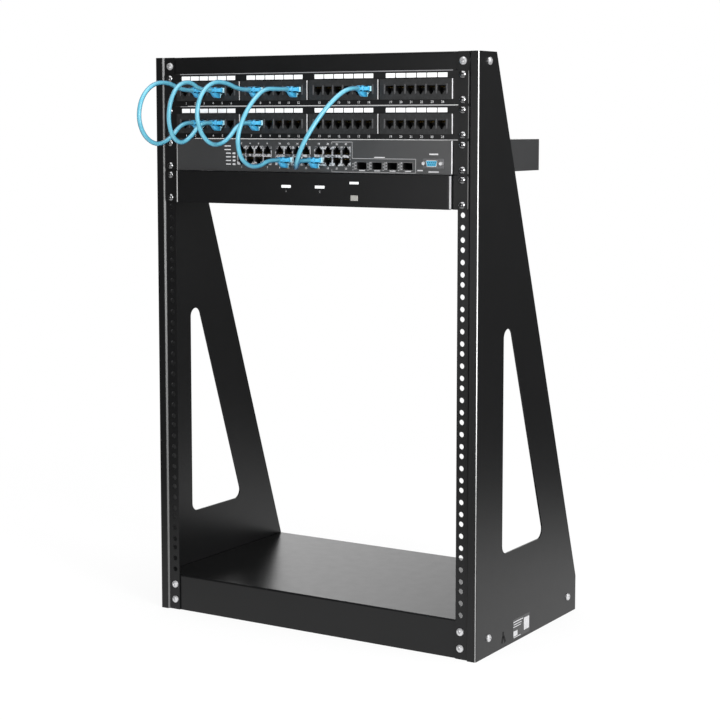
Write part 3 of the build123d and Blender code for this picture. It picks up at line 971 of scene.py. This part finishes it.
def boot(bm):
    """Sleeve and tapered boot of a plug along -Y, with the socket's face at the origin."""
    start = 4.6 * mm
    rounding = 2.0 * mm
    verts = bmesh.ops.create_grid(bm, x_segments=1, y_segments=1, size=0.5)["verts"]
    bmesh.ops.rotate(bm, cent=(0, 0, 0), matrix=Matrix.Rotation(pi / 2, 3, "X"), verts=verts)
    bmesh.ops.scale(bm, vec=(12.6 * mm, 1, 7.8 * mm), verts=verts)
    bmesh.ops.translate(bm, vec=(0, -start, 0), verts=verts)
    face = verts[0].link_faces[0]
    for distance, width, tall in boot_sections:
        made = bmesh.ops.extrude_face_region(bm, geom=[face])["geom"]
        face = next(g for g in made if isinstance(g, bmesh.types.BMFace))
        ends = face.verts[:]
        spread = max(v.co.x for v in ends) - min(v.co.x for v in ends)
        rise = max(v.co.z for v in ends) - min(v.co.z for v in ends)
        bmesh.ops.scale(bm, vec=(width * mm / spread, 1, tall * mm / rise), verts=ends)
        bmesh.ops.translate(bm, vec=(0, -distance * mm - ends[0].co.y, 0), verts=ends)
    long_edges = [e for e in bm.edges if abs(e.verts[0].co.y - e.verts[1].co.y) > 0.05 * mm]
    bevelled(bm, long_edges, rounding, segments=4)
    bmesh.ops.recalc_face_normals(bm, faces=bm.faces[:])


def latch_guard(bm):
    """Curved fin under the boot that covers the latch."""
    half_width = 2.9 * mm
    rounding = 0.5 * mm
    same = 1e-7
    verts = [bm.verts.new((-half_width, -out * mm, up * mm)) for out, up in guard_outline]
    face = bm.faces.new(verts)
    made = bmesh.ops.extrude_face_region(bm, geom=[face])["geom"]
    moved = [g for g in made if isinstance(g, bmesh.types.BMVert)]
    bmesh.ops.translate(bm, vec=(2 * half_width, 0, 0), verts=moved)
    edges = {e for v in (*verts, *moved) for e in v.link_edges}
    rims = [e for e in edges if abs(e.verts[0].co.x - e.verts[1].co.x) < same]
    bevelled(bm, rims, rounding, segments=2)
    bmesh.ops.recalc_face_normals(bm, faces=bm.faces[:])


def plug_pieces(name, ends):
    """Booted plugs at both ends of a cord: boots, clear bodies and latches, and the cord in the boots."""
    shape = bpy.data.meshes.new("boot")
    bm = bmesh.new()
    boot(bm)
    latch_guard(bm)
    bm.to_mesh(shape)
    bm.free()
    neck_length = plug_reach - boot_reach + 1.0 * mm
    latch_lean = Matrix.Rotation(radians(24), 4, "X")
    boots = bmesh.new()
    bodies = bmesh.new()
    necks = bmesh.new()
    for x, face, axis in ends:
        add_mesh(boots, shape, Matrix.Translation((x, face, axis)))
        middle = (x, face - plug_reach + neck_length / 2, axis)
        rod(necks, middle, radius=cord_diameter / 2, length=neck_length, sides=24)
        block(bodies, (x, face + 1.4 * mm, axis), in_mm(11.6, 17.0, 6.7), edge=0.5 * mm)
        latch = (x, face + 0.4 * mm, axis - 5.6 * mm)
        block(bodies, latch, in_mm(3.4, 9.0, 0.9), edge=0.25 * mm, turn=latch_lean)
        block(bodies, (x, face - 4.6 * mm, axis - 7.2 * mm), in_mm(6.0, 1.0, 6.2), edge=0.35 * mm)
    cover = finished(f"{name}_boots", boots, boot_blue, smooth=35)
    body = finished(f"{name}_plug_bodies", bodies, clear_plug, smooth=35)
    neck = finished(f"{name}_boot_necks", necks, cord_blue, smooth=35)
    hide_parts(f"{name}_plugs")
    return [cover, body, neck]


def patch_cord(name, ends, route):
    """Round patch cord from boot to boot, along a NURBS curve through its route."""
    start, finish = (Vector((x, face - plug_reach, axis)) for x, face, axis in ends)
    lead = Vector((0, -cord_lead, 0))
    points = [start, start + lead, *(Vector(point) * mm for point in route), finish + lead, finish]
    curve = bpy.data.curves.new(name, "CURVE")
    curve.dimensions = "3D"
    curve.bevel_depth = cord_diameter / 2
    curve.bevel_resolution = 5
    curve.resolution_u = 10
    curve.use_fill_caps = True
    spline = curve.splines.new("NURBS")
    spline.points.add(len(points) - 1)
    for place, point in zip(spline.points, points):
        place.co = (*point, 1.0)
    spline.order_u = 3
    spline.use_endpoint_u = True
    curve.materials.append(cord_blue)
    piece = bpy.data.objects.new(f"{name}_jacket", curve)
    bpy.context.scene.collection.objects.link(piece)
    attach(piece, "root")
    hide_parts(name)
    plug_pieces(name, ends)


def rear_details():
    """Pins of the power inlet, and the screws and dark mouths of the rear connectors."""
    pins = bmesh.new()
    low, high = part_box("switch_power_inlet")
    centre = (low + high) / 2
    for x, z in (in_mm(-7.0, -2.0), in_mm(0.0, 2.5), in_mm(7.0, -2.0)):
        spot = (centre.x + x, high.y - 0.9 * mm, centre.z + z)
        block(pins, spot, in_mm(2.0, 1.6, 6.0), edge=0.2 * mm)

    connectors = 4
    connector_pitch = 62.0 * mm
    screw_x = 16.0 * mm
    backward = Matrix.Rotation(pi, 4, "Z")
    mouths = bmesh.new()
    low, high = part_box("console_rear_ports")
    axis = (low.z + high.z) / 2
    for place in range(connectors):
        x = centred(place, connectors, connector_pitch)
        block(mouths, (x, high.y + 0.1 * mm, axis), in_mm(24.0, 0.6, 7.0), edge=0.25 * mm)
        for side in (-1, 1):
            add_mesh(pins, small_head, Matrix.Translation((x + side * screw_x, high.y, axis)) @ backward)
    finished("rear_pins_and_screws", pins, zinc, smooth=30)
    finished("rear_port_mouths", mouths, inlet_plastic)


def camera():
    """Camera fitted to the photograph, 2.5 m in front and to the right."""
    looks_down, turned_left = 0.10029, 0.55385
    lens = bpy.data.cameras.new("camera")
    lens.lens = 89.829
    lens.sensor_width = 36.0
    lens.shift_y = -0.08
    lens.clip_end = 50.0
    holder = bpy.data.objects.new("camera", lens)
    holder.location = (1.32335, -2.15838, 0.698)
    holder.rotation_euler = (pi / 2 - looks_down, 0.0, turned_left)
    bpy.context.scene.collection.objects.link(holder)
    bpy.context.scene.camera = holder


def pale_floor():
    """Plain white floor with a soft shadow, darkest under the rack. It mirrors bright only close to it."""
    half_width, half_depth = 0.25, 0.145
    mirror_near, mirror_far, mirror_loss = 0.35, 1.35, 0.91
    shadow_near, shadow_far = 0.5, 1.6
    bm = bmesh.new()
    bmesh.ops.create_grid(bm, x_segments=1, y_segments=1, size=9.0)
    mesh = bpy.data.meshes.new("floor")
    bm.to_mesh(mesh)
    bm.free()
    floor = bpy.data.objects.new("floor", mesh)
    bpy.context.scene.collection.objects.link(floor)
    look = Finish("floor", Base_Color=grey(0.8), Roughness=0.9)
    distance = look.node("ShaderNodeVectorMath", {"operation": "LENGTH"}, {0: look.place()}, "Value")
    seen = look.seen()
    mirrored = look.ray("Glossy")
    bright = 1.0 - mirror_loss * look.ramp(distance, mirror_near, mirror_far)
    glow = look.node("ShaderNodeEmission", inputs={"Color": grey(1.0), "Strength": seen + mirrored * bright})
    lit = Signal(look, look.shader.outputs[0])
    under = look.inside(look.along("X"), -half_width, half_width)
    under = under * look.inside(look.along("Y"), -half_depth, half_depth)
    white = look.between(shadow_share, 1.0, look.ramp(distance, shadow_near, shadow_far))
    share = seen * white * (1.0 - shadow_under * under) + mirrored
    mixed = look.node("ShaderNodeMixShader", inputs={0: share, 1: lit, 2: glow})
    look.tree.links.new(mixed.socket, look.tree.nodes["Material Output"].inputs["Surface"])
    floor.data.materials.append(look.material)


def white_room():
    """World: white where it is seen, bright behind the rack in its mirror image, plain where it lights it."""
    world = bpy.data.worlds.new("room")
    bpy.context.scene.world = world
    world.use_nodes = True
    world.cycles.sampling_method = "NONE"
    room = Nodes(world.node_tree)
    seen = room.seen()
    mirrored = room.ray("Glossy")
    dot = {"operation": "DOT_PRODUCT"}
    facing = room.node("ShaderNodeVectorMath", dot, {0: room.place("Generated"), 1: behind}, "Value")
    rightward = room.along("X", "Generated")
    image = room.between(mirror_dark, mirror_bright, room.ramp(facing, low=0.8, high=1.02))
    image = image + mirror_right * room.ramp(rightward, low=0.58, high=0.68)
    level = seen + mirrored * image + room_light * (1.0 - seen) * (1.0 - mirrored)
    back = room.tree.nodes["Background"]
    room.feed(back.inputs["Color"], grey(1.0))
    room.feed(back.inputs["Strength"], level)


def soft_light(name, place, size, power):
    """Rectangular soft light that looks at the middle of the rack."""
    middle = Vector((0.0, 0.0, 0.4))
    lamp = bpy.data.lights.new(name, "AREA")
    lamp.shape = "RECTANGLE"
    lamp.size, lamp.size_y = size
    lamp.energy = power
    holder = bpy.data.objects.new(name, lamp)
    holder.location = place
    holder.rotation_euler = (middle - Vector(place)).to_track_quat("-Z", "Y").to_euler()
    bpy.context.scene.collection.objects.link(holder)


def studio():
    """Soft lights: overhead, a tall strip at the right and a low panel at the front left."""
    soft_light("overhead", (0.3, -0.3, 2.6), size=(2.2, 2.2), power=50.0)
    soft_light("right_strip", (2.3, -1.25, 0.9), size=(0.6, 1.8), power=58.0)
    soft_light("front_panel", (-0.3, -2.5, 0.4), size=(1.4, 1.0), power=12.0)


bpy.context.scene.view_settings.view_transform = "Standard"
camera()
pale_floor()
white_room()
studio()
paint_nodes()
for name, (length, route) in routes.items():
    patch_cord(name, plug_ends[name], route)
frame_bolts()
ear_screws()
bracket_screws()
patch_panel_details("upper", upper, filled={3, 5, 8, 12, 18}, top_highlight_right=218.5 * mm)
patch_panel_details("lower", lower, filled={3, 5, 8}, top_highlight_right=222.5 * mm)
switch_details()
console_details()
side_marks()
rear_details()
